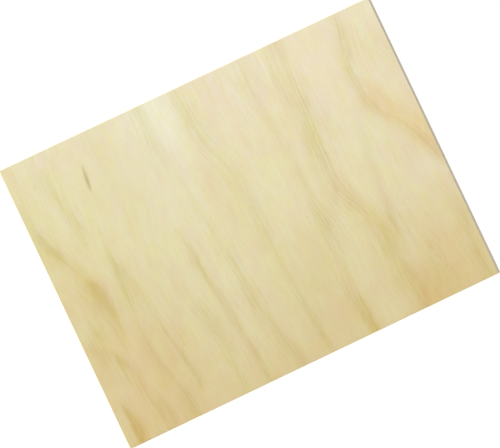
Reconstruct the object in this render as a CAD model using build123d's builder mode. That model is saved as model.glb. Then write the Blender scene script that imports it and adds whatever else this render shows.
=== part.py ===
# A sheet of birch plywood, cut square from stock and lying flat.
# It is three veneers pressed and glued into one flat piece, so it is one solid.
# The origin is the middle of the underside. The long edges run along X, the face
# grain runs along Y, and Z is up through the thickness.

from build123d import *
import os

# Driving dimensions, in millimetres
length = 400.0
width = 300.0
thickness = 3.0
corner_radius = 0.8
arris_radius = 0.25

# The saw leaves the four corners square, and handling rounds them slightly
with BuildPart() as plywood_sheet:
    with BuildSketch(Plane.XY) as outline:
        Rectangle(length, width)
        fillet(outline.vertices(), corner_radius)
    extrude(amount=thickness)

    # Sanding the faces breaks the sharp arris that runs round each of them
    underside, top_face = plywood_sheet.faces().filter_by(Axis.Z).sort_by(Axis.Z)
    fillet(underside.edges() + top_face.edges(), arris_radius)

plywood_sheet.part.label = "plywood_sheet"

os.makedirs("parts", exist_ok=True)
export_step(plywood_sheet.part, "parts/plywood_sheet.step")
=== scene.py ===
import math

import bpy
import numpy as np
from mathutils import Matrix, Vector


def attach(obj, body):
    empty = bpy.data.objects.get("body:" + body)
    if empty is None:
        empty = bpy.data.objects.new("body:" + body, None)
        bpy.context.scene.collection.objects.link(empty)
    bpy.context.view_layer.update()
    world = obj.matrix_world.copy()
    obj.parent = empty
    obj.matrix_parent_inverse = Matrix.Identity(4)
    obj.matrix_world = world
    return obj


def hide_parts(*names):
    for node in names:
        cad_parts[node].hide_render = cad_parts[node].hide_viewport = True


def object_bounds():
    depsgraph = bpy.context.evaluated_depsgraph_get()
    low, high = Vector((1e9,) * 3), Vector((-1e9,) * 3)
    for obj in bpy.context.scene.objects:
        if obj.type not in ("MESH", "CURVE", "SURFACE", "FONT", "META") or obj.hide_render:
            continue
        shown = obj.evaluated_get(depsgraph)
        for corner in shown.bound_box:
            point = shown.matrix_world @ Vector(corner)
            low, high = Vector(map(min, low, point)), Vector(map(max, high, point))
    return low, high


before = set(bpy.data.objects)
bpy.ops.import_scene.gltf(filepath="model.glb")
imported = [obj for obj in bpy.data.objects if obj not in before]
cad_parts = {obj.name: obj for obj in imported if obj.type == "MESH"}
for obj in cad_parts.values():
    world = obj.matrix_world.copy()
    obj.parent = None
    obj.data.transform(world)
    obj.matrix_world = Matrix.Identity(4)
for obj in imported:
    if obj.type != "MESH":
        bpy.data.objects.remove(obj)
cad_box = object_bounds()


# The camera
# The sheet is seen from straight above, lying 25 degrees askew, with a portrait lens far enough off
# that its long edges stay parallel. A degree of tilt fits the corners to their places.
MM = 0.001
lens_mm = 85
camera_place = (-28.4 * MM, -8.3 * MM, 1160.8 * MM)
camera_tilt = (0.89, -1.11)
sheet_askew = 25.39

camera_data = bpy.data.cameras.new("camera")
camera_data.lens = lens_mm
camera = bpy.data.objects.new("camera", camera_data)
camera.location = camera_place
camera.rotation_euler = [math.radians(turn) for turn in (*camera_tilt, -sheet_askew)]
bpy.context.scene.collection.objects.link(camera)
bpy.context.scene.camera = camera
bpy.context.scene.view_settings.view_transform = "Standard"


# The sheet's shape
# Three rotary-cut birch veneers, the middle one crosswise, are glued, hot-pressed, sanded and sawn
# square. Sanding breaks the arrises, and the saw leaves the edges faintly rippled between glue lines.
half_length, half_width = (cad_box[1].x / MM, cad_box[1].y / MM)
thickness = cad_box[1].z / MM
corner_radius = 0.8
arris_radius = 0.25
veneer_thickness = 1.0
column_step = 1.3
row_step = 2.9
lines_beside_edge = np.array([0, 0.2, 0.45, 0.8, 1.5])
# Closer lines of the grid over the split in the face, to carry its groove
split_columns = np.arange(70.2, 79.1, 0.4) - half_length
split_rows = half_width - np.arange(60.0, 26.0, -1.6)
# The relief of the faces fades out towards their rims, over this many millimetres
relief_fade = 2


def grid_lines(half, step, fine):
    """Places of a grid's lines from -half to half: evenly a step apart, closer beside both ends, and the
    lines of fine in place of the even ones that they span."""
    middle = half - lines_beside_edge[-1]
    even = np.linspace(-middle, middle, round(2 * middle / step) + 1)
    apart = (even < fine.min() - step / 2) | (even > fine.max() + step / 2)
    ends = half - lines_beside_edge[:-1]
    return np.sort(np.concatenate([-ends, even[apart], fine, ends]))


def rounded(x, y, half_x, half_y, radius):
    """Pulls the corners of a rectangle in to quarter circles. Across a corner's square u and v run from
    0 to 1, and each is shortened by the root of one less half the other's square."""
    u = np.clip((np.abs(x) - half_x + radius) / radius, 0, 1)
    v = np.clip((np.abs(y) - half_y + radius) / radius, 0, 1)
    pulled_x = np.abs(x) - radius * u * (1 - np.sqrt(1 - v * v / 2))
    pulled_y = np.abs(y) - radius * v * (1 - np.sqrt(1 - u * u / 2))
    return np.sign(x) * pulled_x, np.sign(y) * pulled_y


def wander(x, y, across, along, seed):
    """Smooth noise from about -1 to 1: a random slope at each corner of a grid of cells that measure
    across by along, and between the corners a blend of their four planes that eases in and out. The
    blend reaches about 0.6, so it is taken 1.6 times."""
    size = 256
    turns = np.random.default_rng(seed).uniform(0, 2 * np.pi, (size, size))
    u, v = x / across + size / 2, y / along + size / 2
    column, row = np.floor(u).astype(int), np.floor(v).astype(int)
    a, b = u - column, v - row
    ease_a, ease_b = a * a * (3 - 2 * a), b * b * (3 - 2 * b)

    def plane(right, up):
        turn = turns[(row + up) % size, (column + right) % size]
        return np.cos(turn) * (a - right) + np.sin(turn) * (b - up)

    low = plane(0, 0) * (1 - ease_a) + plane(1, 0) * ease_a
    high = plane(0, 1) * (1 - ease_a) + plane(1, 1) * ease_a
    return 1.6 * (low * (1 - ease_b) + high * ease_b)


face_half = half_length - arris_radius, half_width - arris_radius
columns = grid_lines(face_half[0], column_step, split_columns)
rows = grid_lines(face_half[1], row_step, split_rows)
face_x, face_y = rounded(*np.meshgrid(columns, rows), *face_half, corner_radius - arris_radius)
across_count, along_count = len(columns), len(rows)
# The grid's points by number, and those of its rim in order, round from the front left corner
number = np.arange(face_x.size).reshape(face_x.shape)
edge_loop = np.concatenate([number[0, :-1], number[:-1, -1], number[-1, :0:-1], number[:0:-1, 0]])
from_rim = np.minimum(face_half[0] - abs(face_x), face_half[1] - abs(face_y))
edge_fade = np.clip(from_rim / relief_fade, 0, 1)


# The figure of the face veneer
# Birch peeled off a turning log shows its growth rings as long wavy lines down the grain, olive where
# the late wood is cut thin, peach to brown where heartwood stains it. Lines follow one another's bends.
# Each line is its width on the left and right, and its points: millimetres right of the left edge,
# millimetres forward of the back edge, and how dark it is there.
ring_lines = [
    (7, 4.5, [(4, 45, 0.3), (8, 77, 0.7), (16, 96, 0.95), (22, 112, 0.7), (30, 129, 0.5),
              (36, 146, 1.55), (39, 161, 1.15), (41, 184, 0.65), (40, 200, 0.25)]),
    (5, 4, [(27, 160, 0.1), (22, 172, 0.3), (21, 184, 0.5), (20, 197, 0.15)]),
    (9, 5, [(8, 198, 0.45), (18, 205, 0.5), (28, 220, 0.65), (33, 233, 0.5), (38, 250, 0.25),
            (44, 267, 0.4), (50, 285, 0.45), (53, 300, 0.5)]),
    (3.5, 3, [(12, 262, 0.7), (15, 280, 1.15), (15, 300, 1.6)]),
    (5, 4, [(38, 28, 0.5), (41, 55, 0.38), (45, 75, 0.58), (47, 95, 0.35)]),
    (3.4, 3, [(65, 104, 0.15), (63, 118, 0.38), (62, 137, 0.66), (61, 157, 0.65), (61, 172, 0.5),
              (60, 195, 0.25), (59, 215, 0.7), (62, 240, 0.45), (66, 262, 0.1)]),
    (3.4, 3, [(64, 130, 0.3), (69, 147, 0.42), (73, 163, 0.3), (76, 180, 0.2), (79, 205, 0.4),
              (85, 230, 0.5), (88, 250, 0.55), (90, 268, 0.5)]),
    (4, 4, [(70, 258, 0.15), (72, 280, 0.6), (73, 300, 0.6)]),
    (6, 4, [(109, 147, 0.1), (113, 168, 0.12), (117, 190, 0.25), (122, 210, 0.5), (126, 230, 0.4),
            (128, 255, 0.3), (127, 300, 0.2)]),
    (3.4, 3, [(133, 125, 0.2), (135, 143, 0.45), (137, 165, 0.85), (139, 185, 0.85),
              (144, 205, 0.5), (146, 225, 0.55), (148, 250, 0.5), (151, 275, 0.65),
              (153, 300, 0.6)]),
    (6, 5, [(146, 0, 0.6), (147, 35, 0.35), (146, 70, 0.1)]),
    (6, 3.5, [(151, 0, 0.1), (152, 40, 0.3), (155, 75, 0.25), (159, 97, 0.12), (162, 125, 0.2),
              (164, 150, 0.25), (168, 175, 0.42), (169, 195, 0.65), (172, 225, 0.65),
              (177, 250, 0.4), (184, 272, 0.6), (191, 300, 0.55)]),
    (9, 8, [(186, 0, 0.4), (190, 30, 0.7), (193, 55, 0.5), (199, 80, 0.3), (206, 100, 0.15)]),
    (5, 4, [(206, 95, 0.2), (210, 120, 0.35), (211, 145, 0.4), (209, 167, 0.6), (208, 187, 0.4),
            (210, 210, 0.3), (213, 235, 0.45), (216, 260, 0.6), (219, 300, 0.3)]),
    (6, 4.5, [(256, 0, 0.25), (257, 35, 0.32), (261, 65, 0.22), (265, 88, 0.35), (267, 110, 0.3),
              (265, 135, 0.32), (266, 160, 0.4), (267, 182, 1.0), (268, 205, 0.6),
              (266, 230, 0.25), (262, 250, 0.3), (265, 272, 0.85), (267, 300, 0.75)]),
    (9, 6, [(297, 0, 0.65), (296, 30, 0.45), (298, 55, 0.6), (297, 77, 0.78), (294, 100, 0.9),
            (292, 120, 0.8), (292, 143, 0.6), (295, 162, 0.7), (300, 175, 0.75), (307, 190, 0.55),
            (313, 205, 0.6), (316, 225, 0.8), (318, 250, 0.6), (322, 275, 0.75), (322, 300, 0.4)]),
    (6, 5, [(280, 15, 0.1), (282, 35, 0.3), (285, 55, 0.15), (292, 72, 0.05)]),
    (4, 3.5, [(336, 100, 0.1), (336, 127, 0.3), (334, 147, 0.3), (332, 170, 0.12), (330, 193, 0.5),
              (329, 215, 0.5), (329, 235, 0.25)]),
    (6, 4.5, [(362, 0, 0.2), (361, 25, 0.7), (357, 45, 0.85), (353, 62, 0.7), (354, 80, 0.5),
              (357, 95, 0.55), (364, 110, 0.35), (373, 122, 0.3), (383, 137, 0.45),
              (393, 155, 0.65), (398, 172, 0.6)]),
    (4, 4, [(346, 205, 0.15), (349, 233, 0.15), (347, 262, 0.35), (345, 290, 0.1)]),
    (4, 4, [(358, 220, 0.15), (357, 245, 0.3), (356, 268, 0.1)]),
    (5, 4, [(392, 215, 0.3), (393, 240, 0.5), (391, 265, 0.35), (392, 300, 0.5)]),
]
stain_lines = [
    (14, 6, [(10, 90, 0.25), (24, 112, 0.3), (36, 145, 0.6), (40, 165, 0.35), (36, 200, 0.25)]),
    (22, 30, [(25, 200, 0.25), (40, 235, 0.4), (45, 270, 0.35), (45, 300, 0.4)]),
    (9, 14, [(355, 77, 0.25), (365, 98, 0.65), (378, 116, 0.75), (389, 137, 0.65), (397, 158, 0.6)]),
    (7, 6, [(296, 150, 0.1), (303, 175, 0.4), (311, 195, 0.45), (316, 212, 0.35), (316, 235, 0.15)]),
    (12, 14, [(316, 255, 0.15), (326, 280, 0.5), (328, 300, 0.75)]),
    (6, 6, [(13, 260, 0.2), (15, 282, 0.7), (16, 300, 0.8)]),
    (5, 5, [(265, 255, 0.1), (265, 280, 0.45), (266, 300, 0.6)]),
    (26, 26, [(375, 195, 0.15), (370, 230, 0.3), (370, 265, 0.4), (370, 300, 0.4)]),
]
bends = [
    [(-40, 0), (-40, 300)],
    [(5, 0), (8, 77), (23, 110), (37, 145), (41, 185), (45, 240), (52, 300)],
    [(70, 0), (68, 60), (63, 107), (61, 150), (59, 187), (60, 220), (68, 260), (74, 300)],
    [(122, 0), (122, 50), (115, 100), (109, 147), (117, 187), (125, 227), (128, 260), (126, 300)],
    [(147, 0), (144, 40), (138, 100), (136, 143), (139, 180), (145, 220), (150, 260), (155, 300)],
    [(153, 0), (155, 67), (162, 113), (165, 150), (170, 193), (175, 235), (188, 300)],
    [(186, 0), (193, 55), (206, 100), (208, 150), (209, 200), (214, 250), (219, 300)],
    [(256, 0), (258, 60), (263, 100), (263, 150), (269, 210), (264, 250), (266, 300)],
    [(298, 0), (295, 77), (292, 120), (294, 160), (307, 187), (316, 220), (317, 260), (322, 300)],
    [(337, 0), (338, 60), (337, 110), (334, 150), (328, 200), (334, 250), (342, 300)],
    [(362, 0), (352, 60), (360, 103), (377, 123), (393, 157), (404, 200), (412, 260), (416, 300)],
    [(440, 0), (440, 300)],
]
# Patches where the wood is darker or lighter, pinker or greener, yellower or whiter than its mean: the
# middle's place right and forward, the half width, the half length, and how much more or less
honey_patches = [
    (0, 0, 75, 190, 0.21), (0, 300, 60, 80, -0.08), (5, 200, 15, 80, 0.10), (78, 190, 25, 90, 0.09),
    (100, 35, 32, 60, 0.15), (160, 0, 24, 45, -0.27), (170, 30, 24, 60, -0.12), (165, 200, 18, 38, -0.09),
    (320, 150, 120, 120, -0.11), (240, 228, 20, 50, 0.15), (392, 52, 14, 22, 0.16), (188, 110, 18, 50, 0.09),
    (290, 290, 38, 22, -0.11), (345, 288, 18, 25, 0.10), (335, 60, 32, 55, -0.09), (280, 20, 40, 45, -0.07),
    (388, 168, 15, 22, -0.14), (275, 155, 25, 45, -0.07), (385, 100, 18, 30, -0.08),
]
blush_patches = [
    (180, 175, 90, 80, -0.24), (25, 75, 70, 90, -0.42), (155, 10, 20, 60, -0.45), (112, 135, 40, 85, -0.26),
    (208, 135, 18, 25, -0.34), (212, 228, 25, 32, -0.34), (50, 250, 52, 50, 0.32), (325, 30, 80, 60, 0.44),
    (240, 266, 16, 17, 0.60), (390, 160, 18, 50, 0.32), (350, 128, 30, 30, -0.34), (187, 140, 14, 50, 0.34),
    (292, 245, 30, 50, -0.26), (190, 292, 14, 14, 0.48), (222, 22, 20, 45, 0.28), (112, 225, 16, 45, -0.24),
    (372, 118, 20, 28, 0.40), (340, 290, 14, 14, 0.30), (260, 105, 14, 22, 0.30), (362, 212, 18, 24, -0.26),
    (162, 125, 14, 50, -0.22), (76, 212, 20, 16, 0.24), (242, 100, 12, 20, -0.30),
]
yellow_patches = [
    (0, 0, 110, 260, 0.40), (400, 0, 40, 50, 0.30), (70, 150, 40, 90, 0.10), (158, 10, 22, 60, -0.45),
    (225, 130, 60, 110, 0.32), (312, 180, 40, 80, 0.20), (190, 115, 20, 50, 0.22), (350, 75, 50, 80, 0.32),
    (140, 222, 22, 42, -0.30), (285, 37, 14, 30, 0.36), (263, 100, 12, 50, 0.26), (137, 35, 16, 30, -0.38),
    (340, 100, 22, 22, -0.34), (40, 5, 60, 16, -0.28), (262, 225, 12, 25, 0.28),
]
# Layers of waves that roughen the figure: each is how much it adds, how wide its waves are across the
# grain and how long down it, in millimetres, and its seed
line_waver = [(1.1, 9, 26, 1), (0.5, 4, 9, 2)]
line_breaks = [(0.25, 9, 22, 3), (0.2, 4, 9, 4)]
faint_streaks = [(1, 6, 70, 11), (1, 3, 30, 12), (1, 14, 110, 13)]
faint_flecks = [(1, 5, 9, 14)]
honey_waves = [(0.035, 24, 40, 21), (0.03, 11, 22, 22)]
yellow_waves = [(0.5, 13, 30, 23), (0.5, 6, 14, 24)]
blush_waves = [(0.4, 17, 34, 25), (0.42, 8, 17, 26)]
ring_strength, stain_strength, faint_strength = 0.88, 0.8, 0.05
# Honey rises from back to front: partly the wood's tone, partly painted shade for a front lit less
honey_and_shade_at_back, honey_and_shade_at_front = 0.18, 0.92
yellow_at_back, yellow_full_to, yellow_gone_at = 0.35, 39, 299
mean_blush = 0.5
# The split's place right and forward, how far it leans right for each millimetre forward, and its size
split_middle = (74.1, 42.5)
split_lean = -0.10
split_half_length = 16.5
split_half_width = 2.3
split_core = 0.45
split_soft_tone, split_core_tone = 0.4, 0.2
split_depth = 0.2
# The late wood is hard and stands proud where sanding wears the rest down by this much
late_wood_proud = 0.02
# How far a line of the figure fades out past its ends, and how much wider its halo is than its core
line_fade = 14
line_halo = 2.4


def smooth_through(points, at):
    """Values of a smooth line through points at other places: between two points a cubic that starts
    and ends on their values and on the slopes of their neighbours' chords."""
    place, value = np.array(points, float)[:, 0], np.array(points, float)[:, 1:]
    slope = np.gradient(value, place, axis=0)
    at = np.clip(at, place[0], place[-1])
    k = np.clip(np.searchsorted(place, at, side="right") - 1, 0, len(place) - 2)
    step = (place[k + 1] - place[k])[..., None]
    t = (at - place[k])[..., None] / step
    start = (1 + 2 * t) * (1 - t) ** 2 * value[k] + t * (1 - t) ** 2 * step * slope[k]
    end = t * t * (3 - 2 * t) * value[k + 1] - t * t * (1 - t) * step * slope[k + 1]
    return start + end


def waves(layers, x, y):
    """Sums layers of wander, each its amount times the noise of its own width, length and seed."""
    return sum(amount * wander(x, y, wide, long, seed) for amount, wide, long, seed in layers)


def streaks(lines, right, forward):
    """Sums soft lines down the grain. Each is a narrow bell curve of the distance from its line plus a
    low wide one, times its depth there, and it fades in and out past its ends."""
    ragged = right + waves(line_waver, right, forward)
    broken = 1 + waves(line_breaks, right, forward)
    total = np.zeros_like(right)
    for left_width, right_width, points in lines:
        way = smooth_through([(down, place, depth) for place, down, depth in points], forward)
        off = ragged - way[..., 0]
        off = off / np.where(off < 0, left_width, right_width)
        first, last = points[0][1], points[-1][1]
        starts = 1 if first < line_fade else np.clip((forward - first) / line_fade + 1, 0, 1)
        ends = 1 if last > 2 * half_width - line_fade else np.clip((last - forward) / line_fade + 1, 0, 1)
        bell = 0.62 * np.exp(-off**2) + 0.38 * np.exp(-(off / line_halo) ** 2)
        total += np.clip(way[..., 1], 0, None) * starts * ends * bell
    return total * broken


def patched(patches, right, forward):
    """Sums soft patches. Each is its amount times a bell curve of the distance from its middle, with its
    own half width and half length."""
    return sum(amount * np.exp(-((right - place) / wide) ** 2 - ((forward - down) / long) ** 2)
               for place, down, wide, long, amount in patches)


def straightened(right, forward):
    """How far across the veneer a place lies once the bends are pulled straight: between two
    neighbouring bends it grows evenly from the mean place of one to that of the next."""
    ways = [smooth_through([(down, place) for place, down in bend], forward)[..., 0] for bend in bends]
    means = [np.mean([place for place, down in bend]) for bend in bends]
    across = means[0] + np.minimum(right - ways[0], 0)
    for k in range(len(bends) - 1):
        gap = np.clip((right - ways[k]) / (ways[k + 1] - ways[k]), 0, 1)
        across += (means[k + 1] - means[k]) * gap
    return across


right, forward = face_x + half_length, half_width - face_y
across = straightened(right, forward)
faint = waves(faint_streaks, across, forward) + waves(faint_flecks, right, forward)
ring = ring_strength * streaks(ring_lines, right, forward) + faint_strength * faint
stain = stain_strength * streaks(stain_lines, right, forward)
# Painted shade, in part: the honey's rise towards the front darkens it as if it were lit less
honey = (honey_and_shade_at_back + (honey_and_shade_at_front - honey_and_shade_at_back) * forward / (2 * half_width)
         + patched(honey_patches, right, forward) + waves(honey_waves, right, forward))
yellow_left = np.clip((yellow_gone_at - forward) / (yellow_gone_at - yellow_full_to), 0, 1)
yellow = (yellow_at_back * yellow_left + patched(yellow_patches, right, forward)
          + waves(yellow_waves, right, forward))
blush = mean_blush + patched(blush_patches, right, forward) + waves(blush_waves, right, forward)

# The split is a slim lens, a little wider towards the front, soft at its sides and dark down its core
down_split = (forward - split_middle[1]) / split_half_length
split_open = np.clip(1 - down_split**2, 0.02, 1) * np.clip(0.9 + 0.35 * down_split, 0.02, 1)
off_split = right - split_middle[0] - split_lean * (forward - split_middle[1])
off_split = off_split / (split_half_width * np.sqrt(split_open))
split = split_open * (split_soft_tone * np.exp(-off_split**2)
                      + split_core_tone * np.exp(-(off_split / split_core) ** 2))
face_depth = late_wood_proud * (1 - np.clip(ring, 0, 1)) + split_depth * split**2


# The back veneer
# The same birch, peeled from plainer wood: growth rings in long easy waves, some close and some wide
# apart, with no split and no stain. It is sanded like the face.
back_ring_spacing = 31
# A ring darkens slowly over its early wood and clears soon past its late wood: the widths of the two
# sides, as shares of the spacing
early_side, late_side = 0.16, 0.06
back_bends = [(20, 90, 380, 31), (3, 26, 120, 32)]

back_across = right + waves(back_bends, right, forward)
back_turn = back_across / back_ring_spacing + waves([(0.05, 6, 22, 33)], right, forward)
back_wave = np.mod(back_turn, 1) - 0.5
back_ring = np.exp(-(back_wave / np.where(back_wave < 0, early_side, late_side)) ** 2)
back_ring *= np.clip(0.36 + waves([(0.55, 40, 110, 34)], right, forward), 0.05, 1)
back_ring += faint_strength * faint
back_honey = (0.45 + waves([(0.28, 120, 200, 35)], right, forward)
              + waves([(0.10, 14, 90, 36)], back_across, forward))
back_yellow = 0.4 + waves([(0.4, 30, 90, 37)], right, forward)
back_blush = mean_blush + waves([(0.4, 40, 80, 38)], right, forward)
back_depth = late_wood_proud * (1 - np.clip(back_ring, 0, 1))


# The sheet's mesh
# One closed skin: the face, the sawn edges as bands carried round the outline from arris to arris,
# and the back. The two faces share their grid, so every band meets both along the same points.
glue_groove = 0.05
groove_reach = 0.06
saw_ripple = 0.03
# Heights of the bands and how far in they lie, from the face down: the arris's quarter circle, the side
# with a groove at each glue line, and the other arris
arc = np.radians([30, 60, 90])
glue_heights = thickness - veneer_thickness, veneer_thickness
side_z = [line + off for line in glue_heights for off in (groove_reach, 0, -groove_reach)]
side_z.insert(3, thickness / 2)
band_inset = np.concatenate([arris_radius * (1 - np.sin(arc)), np.zeros(len(side_z)),
                             arris_radius * (1 - np.sin(arc[::-1]))])
band_z = np.concatenate([thickness - arris_radius * (1 - np.cos(arc)), side_z,
                         arris_radius * (1 - np.cos(arc[::-1]))])
# Each point of the rim is carried straight out. At a corner that is away from the middle of its quarter
# circle, and the reach is the corner's radius less what the band lies in
loop_x, loop_y = face_x.ravel()[edge_loop], face_y.ravel()[edge_loop]
round_x = np.clip(loop_x, corner_radius - half_length, half_length - corner_radius)
round_y = np.clip(loop_y, corner_radius - half_width, half_width - corner_radius)
out_x = (loop_x - round_x) / (corner_radius - arris_radius)
out_y = (loop_y - round_y) / (corner_radius - arris_radius)
# How far round the rim each point lies, for the saw's ripple and the flat layout
loop_step = np.hypot(np.diff(loop_x, append=loop_x[0]), np.diff(loop_y, append=loop_y[0]))
round_edge = np.concatenate([[0], np.cumsum(loop_step)])
sawn = (band_inset == 0)[:, None]
at_glue = np.isin(band_z, glue_heights)[:, None]
along_loop, up_band = np.meshgrid(round_edge[:-1], band_z)
ripple = saw_ripple * (0.5 + 0.5 * wander(along_loop, up_band, 1.7, 4, 41)).clip(0, 1)
inset = band_inset[:, None] + sawn * ripple + at_glue * glue_groove
reach = corner_radius - inset
points = np.concatenate([
    np.stack([face_x, face_y, thickness - edge_fade * face_depth], -1).reshape(-1, 3),
    np.stack([round_x + out_x * reach, round_y + out_y * reach, up_band], -1).reshape(-1, 3),
    np.stack([face_x, face_y, edge_fade * back_depth], -1).reshape(-1, 3),
]) * MM

# Four points to each quad, anticlockwise as seen from outside
corner = number[:-1, :-1], number[:-1, 1:], number[1:, 1:], number[1:, :-1]
face_quads = np.stack(corner, -1).reshape(-1, 4)
band_start, back_start = face_x.size, face_x.size + up_band.size
ring_of = band_start + np.arange(up_band.size).reshape(up_band.shape)
hoops = np.concatenate([edge_loop[None], ring_of, edge_loop[None] + back_start])
ahead = np.roll(hoops, -1, axis=1)
band_quads = np.stack([hoops[:-1], hoops[1:], ahead[1:], ahead[:-1]], -1).reshape(-1, 4)
quads = np.concatenate([face_quads, band_quads, back_start + face_quads[:, ::-1]])

mesh = bpy.data.meshes.new("birch_sheet")
mesh.from_pydata(points, [], quads)
mesh.shade_smooth()
sheet = bpy.data.objects.new("birch_sheet", mesh)
bpy.context.scene.collection.objects.link(sheet)

# Each value of the figure lies on the face and the back, and runs on round the arris down the edge
for name, on_face, on_back in (("ring", ring, back_ring), ("stain", stain, 0 * stain),
                               ("honey", honey, back_honey), ("yellow", yellow, back_yellow),
                               ("blush", blush, back_blush), ("split", split, 0 * split),
                               ("across", across, back_across + 2 * half_length),
                               ("along", forward, forward)):
    on_edge = np.tile(on_face.ravel()[edge_loop], len(band_z))
    values = np.concatenate([on_face.ravel(), on_edge, on_back.ravel()])
    mesh.attributes.new(name, "FLOAT", "POINT").data.foreach_set("value", values.astype(np.float32))

# The skin laid out flat, as its maps are baked: the face above the back, each as wide as the square
# so that the fine detail across the grain gets the pixels, and the four edges in strips below
strip_height, strip_gap = 0.02, 0.004
strip_length = 1 - 2 * strip_gap
block_low = 4 * strip_height + 5 * strip_gap
block_height = (1 - block_low - 2 * strip_gap) / 2
unrolled = np.stack([0.5 + face_x / face_half[0] / 2 * strip_length,
                     0.5 + face_y / face_half[1] / 2], -1).reshape(-1, 2)
face_flat = (0, block_low + block_height + strip_gap) + unrolled * (1, block_height)
back_flat = (1, block_low) + unrolled * (-1, block_height)
side_starts = np.cumsum([0, across_count - 1, along_count - 1, across_count - 1, along_count - 1])
side = np.repeat(np.arange(4), np.diff(side_starts))
side_length = np.diff(round_edge[side_starts])[side]
run = (round_edge[:-1] - round_edge[side_starts[side]]) / side_length
run_on = run + loop_step / side_length
profile_step = np.hypot(np.diff([arris_radius, *band_inset, arris_radius]),
                        np.diff([thickness, *band_z, 0]))
drop = np.concatenate([[0], np.cumsum(profile_step)]) / profile_step.sum()
strip_top = (side + 1) * (strip_height + strip_gap)
band_corners = zip((run, run, run_on, run_on), (drop[:-1], drop[1:], drop[1:], drop[:-1]))
band_flat = np.stack([
    np.stack(np.broadcast_arrays(strip_gap + u * strip_length, strip_top - strip_height * v[:, None]), -1)
    for u, v in band_corners], 2)
flat = np.concatenate([face_flat[face_quads].reshape(-1), band_flat.reshape(-1),
                       back_flat[face_quads[:, ::-1]].reshape(-1)])
layout = mesh.uv_layers.new(name="OFBake")
layout.uv.foreach_set("vector", flat.astype(np.float32))

# Which finish each quad wears: 0 face, 1 back, 2 short edge or 3 long edge
side_of = np.array([3, 2, 3, 2])[side]
band_finish = np.tile(side_of, (len(hoops) - 1, 1))
band_finish[:2], band_finish[-2:] = 0, 1
finish_of = np.concatenate([np.zeros(len(face_quads)), band_finish.ravel(),
                            np.ones(len(face_quads))]).astype(np.int32)
mesh.polygons.foreach_set("material_index", finish_of)


# The sheet's finishes
# Bare birch, sanded fine and not sealed: pale cream sapwood going to honey towards the front, partly the
# wood's tone and partly painted shade of a front lit less than the back; satin dull, with the fibres just
# raised. The sawn edges show long grain and end grain in turn.
bare_wood_roughness = 0.6
roughness_spread = 0.08
sawn_roughness = 0.7
wood_ior = 1.53
# Birch fibres are about 0.02 mm wide and its pores 0.08 mm, too fine to show, so bundles of fibres
# and runs of pores are drawn, at the widths and lengths below in millimetres. The noise's cells are
# turned, so that they don't line up in rows across the grain.
fibre_width, fibre_length = 0.45, 16
band_width, band_length = 1.5, 55
pore_width, pore_length = 0.4, 3.5
cells_turned = (0.6, 0.5, 0.35)
fibre_height = 0.03 * MM
# On the sawn edges the same, as lengths along the edge and heights up it
edge_fibre_length, edge_fibre_height = 9, 0.18
end_pore_length, end_pore_height = 0.22, 0.16
saw_score_length, saw_score_height = 0.7, 6
ply_waver_length, ply_waver_height, ply_waver = 12, 40, 0.1 * MM
edge_relief = 0.04 * MM
glue_half, glue_blur = 0.02 * MM, 0.05 * MM
ply_blur = 0.02 * MM


def linear(code):
    """Linear red, green, blue and alpha of an sRGB hex colour."""
    channels = [int(code[k:k + 2], 16) / 255 for k in (1, 3, 5)]
    return [c / 12.92 if c <= 0.04045 else ((c + 0.055) / 1.055) ** 2.4 for c in channels] + [1]


def add(tree, kind, inputs, **settings):
    """Adds a node of a kind with its settings, and fills its inputs: another node's socket is linked,
    and any other value is set."""
    made = tree.nodes.new("ShaderNode" + kind)
    for name, value in settings.items():
        setattr(made, name, value)
    for name, value in inputs.items():
        if isinstance(value, bpy.types.NodeSocket):
            tree.links.new(value, made.inputs[name])
        else:
            made.inputs[name].default_value = value
    return made


# A colour Mix node has its two colours in sockets 6 and 7, and gives its result from output 2
FIRST, SECOND, RESULT = 6, 7, 2


def new_finish(name, roughness):
    """A material with a wood's shader on it, and the tree that the rest of its nodes go into."""
    material = bpy.data.materials.new(name)
    material.use_nodes = True
    shader = material.node_tree.nodes["Principled BSDF"]
    shader.inputs["Roughness"].default_value = roughness
    shader.inputs["IOR"].default_value = wood_ior
    sheet.data.materials.append(material)
    return material.node_tree, shader


def grain_pattern(tree, place, cell, detail, turned=(0, 0, 0)):
    """The uneven tone of wood: noise over a place, with cells of a given size along its three axes."""
    scale = [1 / size for size in cell]
    mapped = add(tree, "Mapping", {"Vector": place, "Scale": scale, "Rotation": turned}).outputs[0]
    return add(tree, "TexNoise", {"Vector": mapped, "Scale": 1, "Detail": detail}).outputs["Fac"]


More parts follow.
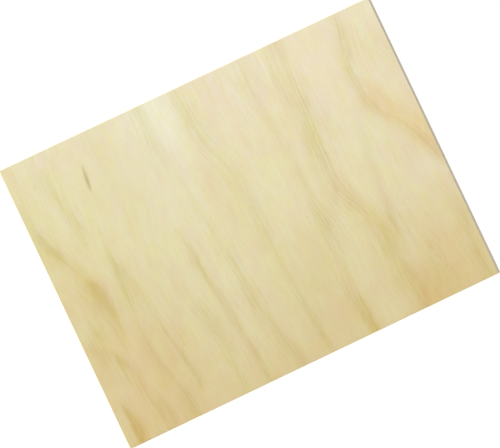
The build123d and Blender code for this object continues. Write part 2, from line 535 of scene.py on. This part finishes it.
def sanded_veneer(name, sapwood, honey_wood, yellowed, blushed, late_wood, heart_stain, dark_split):
    """Birch veneer along the grain: broad tone, growth rings and stain from the sheet's attributes,
    and fibres and pores from noise drawn out along the straightened grain."""
    tree, shader = new_finish(name, bare_wood_roughness)
    told = {kind: add(tree, "Attribute", {}, attribute_name=kind).outputs["Fac"]
            for kind in ("honey", "yellow", "blush", "ring", "stain", "split", "across", "along")}
    grain_place = add(tree, "CombineXYZ", {0: told["across"], 1: told["along"]}).outputs[0]
    fibres = grain_pattern(tree, grain_place, (fibre_width, fibre_length, 1), 2, cells_turned)
    bands = grain_pattern(tree, grain_place, (band_width, band_length, 1), 1, cells_turned)
    pores = grain_pattern(tree, grain_place, (pore_width, pore_length, 1), 0, cells_turned)

    # Bands make a ring fainter and stronger along its way. Fibres and bands then lighten and darken the
    # wood a little all over, and pores darken it only where their noise is highest
    banded = add(tree, "MapRange", {"Value": bands, "From Min": 0.3, "From Max": 0.7, "To Min": 0.65,
                                    "To Max": 1.35}, clamp=False).outputs[0]
    drawn = add(tree, "Math", {0: told["ring"], 1: banded}, operation="MULTIPLY").outputs[0]
    for pattern, low, high, least, most, held in ((fibres, 0.3, 0.7, -0.08, 0.16, False),
                                                  (bands, 0.3, 0.7, -0.06, 0.08, False),
                                                  (pores, 0.66, 0.76, 0, 0.35, True)):
        tone = add(tree, "MapRange", {"Value": pattern, "From Min": low, "From Max": high, "To Min": least,
                                      "To Max": most}, clamp=held).outputs[0]
        drawn = add(tree, "Math", {0: drawn, 1: tone}, operation="ADD").outputs[0]
    # On the face the honey's rise towards the front is partly painted shade
    colour = add(tree, "Mix", {0: told["honey"], FIRST: linear(sapwood), SECOND: linear(honey_wood)},
                 data_type="RGBA").outputs[RESULT]
    for amount, tint in ((told["yellow"], yellowed), (told["blush"], blushed), (drawn, late_wood),
                         (told["stain"], heart_stain)):
        colour = add(tree, "Mix", {0: amount, FIRST: colour, SECOND: linear(tint)},
                     data_type="RGBA", blend_type="MULTIPLY").outputs[RESULT]
    colour = add(tree, "Mix", {0: told["split"], FIRST: colour, SECOND: linear(dark_split)},
                 data_type="RGBA").outputs[RESULT]
    tree.links.new(colour, shader.inputs["Base Color"])
    dull = add(tree, "MapRange", {"Value": fibres, "To Min": bare_wood_roughness - roughness_spread,
                                  "To Max": bare_wood_roughness + roughness_spread}).outputs[0]
    tree.links.new(dull, shader.inputs["Roughness"])
    raised = add(tree, "Bump", {"Height": fibres, "Distance": fibre_height, "Strength": 0.6})
    tree.links.new(raised.outputs[0], shader.inputs["Normal"])


def sawn_edge(name, grain_turn, long_grain, end_grain, glue):
    """The edge of three plies by height: a glue line each side of the core, and end grain or long grain
    on the plies as grain_turn says, 0 where the core shows its ends and 1 where the outer plies do."""
    tree, shader = new_finish(name, sawn_roughness)
    place = add(tree, "TexCoord", {}).outputs["Object"]
    height = add(tree, "SeparateXYZ", {0: place}).outputs["Z"]

    def edge_pattern(run, rise, detail):
        return grain_pattern(tree, place, (run * MM, run * MM, rise * MM), detail)

    off_middle = add(tree, "Math", {0: height, 1: thickness / 2 * MM}, operation="SUBTRACT").outputs[0]
    off_middle = add(tree, "Math", {0: off_middle}, operation="ABSOLUTE").outputs[0]
    wavering = edge_pattern(ply_waver_length, ply_waver_height, 1)
    waver = add(tree, "MapRange", {"Value": wavering, "To Min": -ply_waver, "To Max": ply_waver},
                clamp=False).outputs[0]
    off_middle = add(tree, "Math", {0: off_middle, 1: waver}, operation="ADD").outputs[0]
    core_half = (thickness / 2 - veneer_thickness) * MM
    outer = add(tree, "MapRange", {"Value": off_middle, "From Min": core_half - ply_blur,
                                   "From Max": core_half + ply_blur}).outputs[0]
    ends = outer if grain_turn else add(tree, "Math", {0: 1, 1: outer}, operation="SUBTRACT").outputs[0]
    from_glue = add(tree, "Math", {0: off_middle, 1: core_half}, operation="SUBTRACT").outputs[0]
    from_glue = add(tree, "Math", {0: from_glue}, operation="ABSOLUTE").outputs[0]
    glued = add(tree, "MapRange", {"Value": from_glue, "From Min": glue_half + glue_blur,
                                   "From Max": glue_half, "To Max": 0.6}).outputs[0]
    fibres = edge_pattern(edge_fibre_length, edge_fibre_height, 3)
    pores = edge_pattern(end_pore_length, end_pore_height, 2)
    scores = edge_pattern(saw_score_length, saw_score_height, 2)
    grained = add(tree, "Mix", {0: ends, 2: fibres, 3: pores}).outputs[0]
    shade = add(tree, "MapRange", {"Value": grained, "From Min": 0.3, "From Max": 0.7, "To Min": 0.86,
                                   "To Max": 1.1}, clamp=False).outputs[0]
    scored = add(tree, "MapRange", {"Value": scores, "From Min": 0.3, "From Max": 0.7, "To Min": 0.9,
                                    "To Max": 1.06}, clamp=False).outputs[0]
    shade = add(tree, "Math", {0: shade, 1: scored}, operation="MULTIPLY").outputs[0]
    colour = add(tree, "Mix", {0: ends, FIRST: linear(long_grain), SECOND: linear(end_grain)},
                 data_type="RGBA").outputs[RESULT]
    colour = add(tree, "Mix", {0: glued, FIRST: colour, SECOND: linear(glue)},
                 data_type="RGBA").outputs[RESULT]
    colour = add(tree, "VectorMath", {0: colour, "Scale": shade}, operation="SCALE").outputs[0]
    tree.links.new(colour, shader.inputs["Base Color"])
    raised = add(tree, "Bump", {"Height": grained, "Distance": edge_relief, "Strength": 0.7})
    tree.links.new(raised.outputs[0], shader.inputs["Normal"])


# The split's colour lies over the wood's. Each of the others multiplies it, in the measure of its value
tints = dict(yellowed="#FFFFEE", blushed="#FFF6FB", late_wood="#ECE7C8", heart_stain="#FAE7BF",
             dark_split="#977A3B")
sanded_veneer("sanded_birch_face", sapwood="#F2EED3", honey_wood="#D8C991", **tints)
sanded_veneer("sanded_birch_back", sapwood="#E8DCB7", honey_wood="#D8C697", **tints)
sawn_edge("sawn_birch_short_edge", 0, long_grain="#DDC898", end_grain="#C6A878", glue="#8A6C44")
sawn_edge("sawn_birch_long_edge", 1, long_grain="#DDC898", end_grain="#C6A878", glue="#8A6C44")

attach(sheet, "root")
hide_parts("plywood_sheet")


# The floor and the light
# A white table under an even white room. One lamp like a high window on the left gives the sheet its
# thin shadow past the right edge. The floor's own glow, which lights nothing, keeps the table white.
floor_size = 6
sun_height, sun_turn, sun_width = 47, 15, 6
sun_share, room_share = 0.61, 0.36
floor_white = "#FBFBFB"
floor_glow = "#6D644F"


def seen_background(tree):
    """1 on rays that bring the background to the camera, straight or by way of gloss or glass, and 0 on
    rays that light the sheet."""
    rays = add(tree, "LightPath", {})
    seen = rays.outputs["Is Camera Ray"]
    for kind in ("Is Glossy Ray", "Is Transmission Ray"):
        seen = add(tree, "Math", {0: seen, 1: rays.outputs[kind]}, operation="MAXIMUM").outputs[0]
    return seen


corners = floor_size * np.array([(-1, -1, 0), (1, -1, 0), (1, 1, 0), (-1, 1, 0)])
floor_mesh = bpy.data.meshes.new("floor")
floor_mesh.from_pydata(corners, [], [(0, 1, 2, 3)])
floor = bpy.data.objects.new("floor", floor_mesh)
bpy.context.scene.collection.objects.link(floor)
table = bpy.data.materials.new("white_table")
table.use_nodes = True
tree = table.node_tree
shader = tree.nodes["Principled BSDF"]
shader.inputs["Base Color"].default_value = linear(floor_white)
shader.inputs["Roughness"].default_value = 1
shader.inputs["Specular IOR Level"].default_value = 0
shader.inputs["Emission Color"].default_value = linear(floor_glow)
tree.links.new(seen_background(tree), shader.inputs["Emission Strength"])
floor_mesh.materials.append(table)

sun_data = bpy.data.lights.new("window", "SUN")
sun_data.energy = sun_share * math.pi / math.sin(math.radians(sun_height))
sun_data.angle = math.radians(sun_width)
sun = bpy.data.objects.new("window", sun_data)
sun.rotation_euler = (0, math.radians(sun_height - 90), math.radians(-sun_turn))
bpy.context.scene.collection.objects.link(sun)

world = bpy.data.worlds.new("white_room")
bpy.context.scene.world = world
world.use_nodes = True
tree = world.node_tree
strength = add(tree, "MapRange", {"Value": seen_background(tree), "To Min": room_share,
                                  "To Max": 1}).outputs[0]
tree.nodes["Background"].inputs["Color"].default_value = (1, 1, 1, 1)
tree.links.new(strength, tree.nodes["Background"].inputs["Strength"])
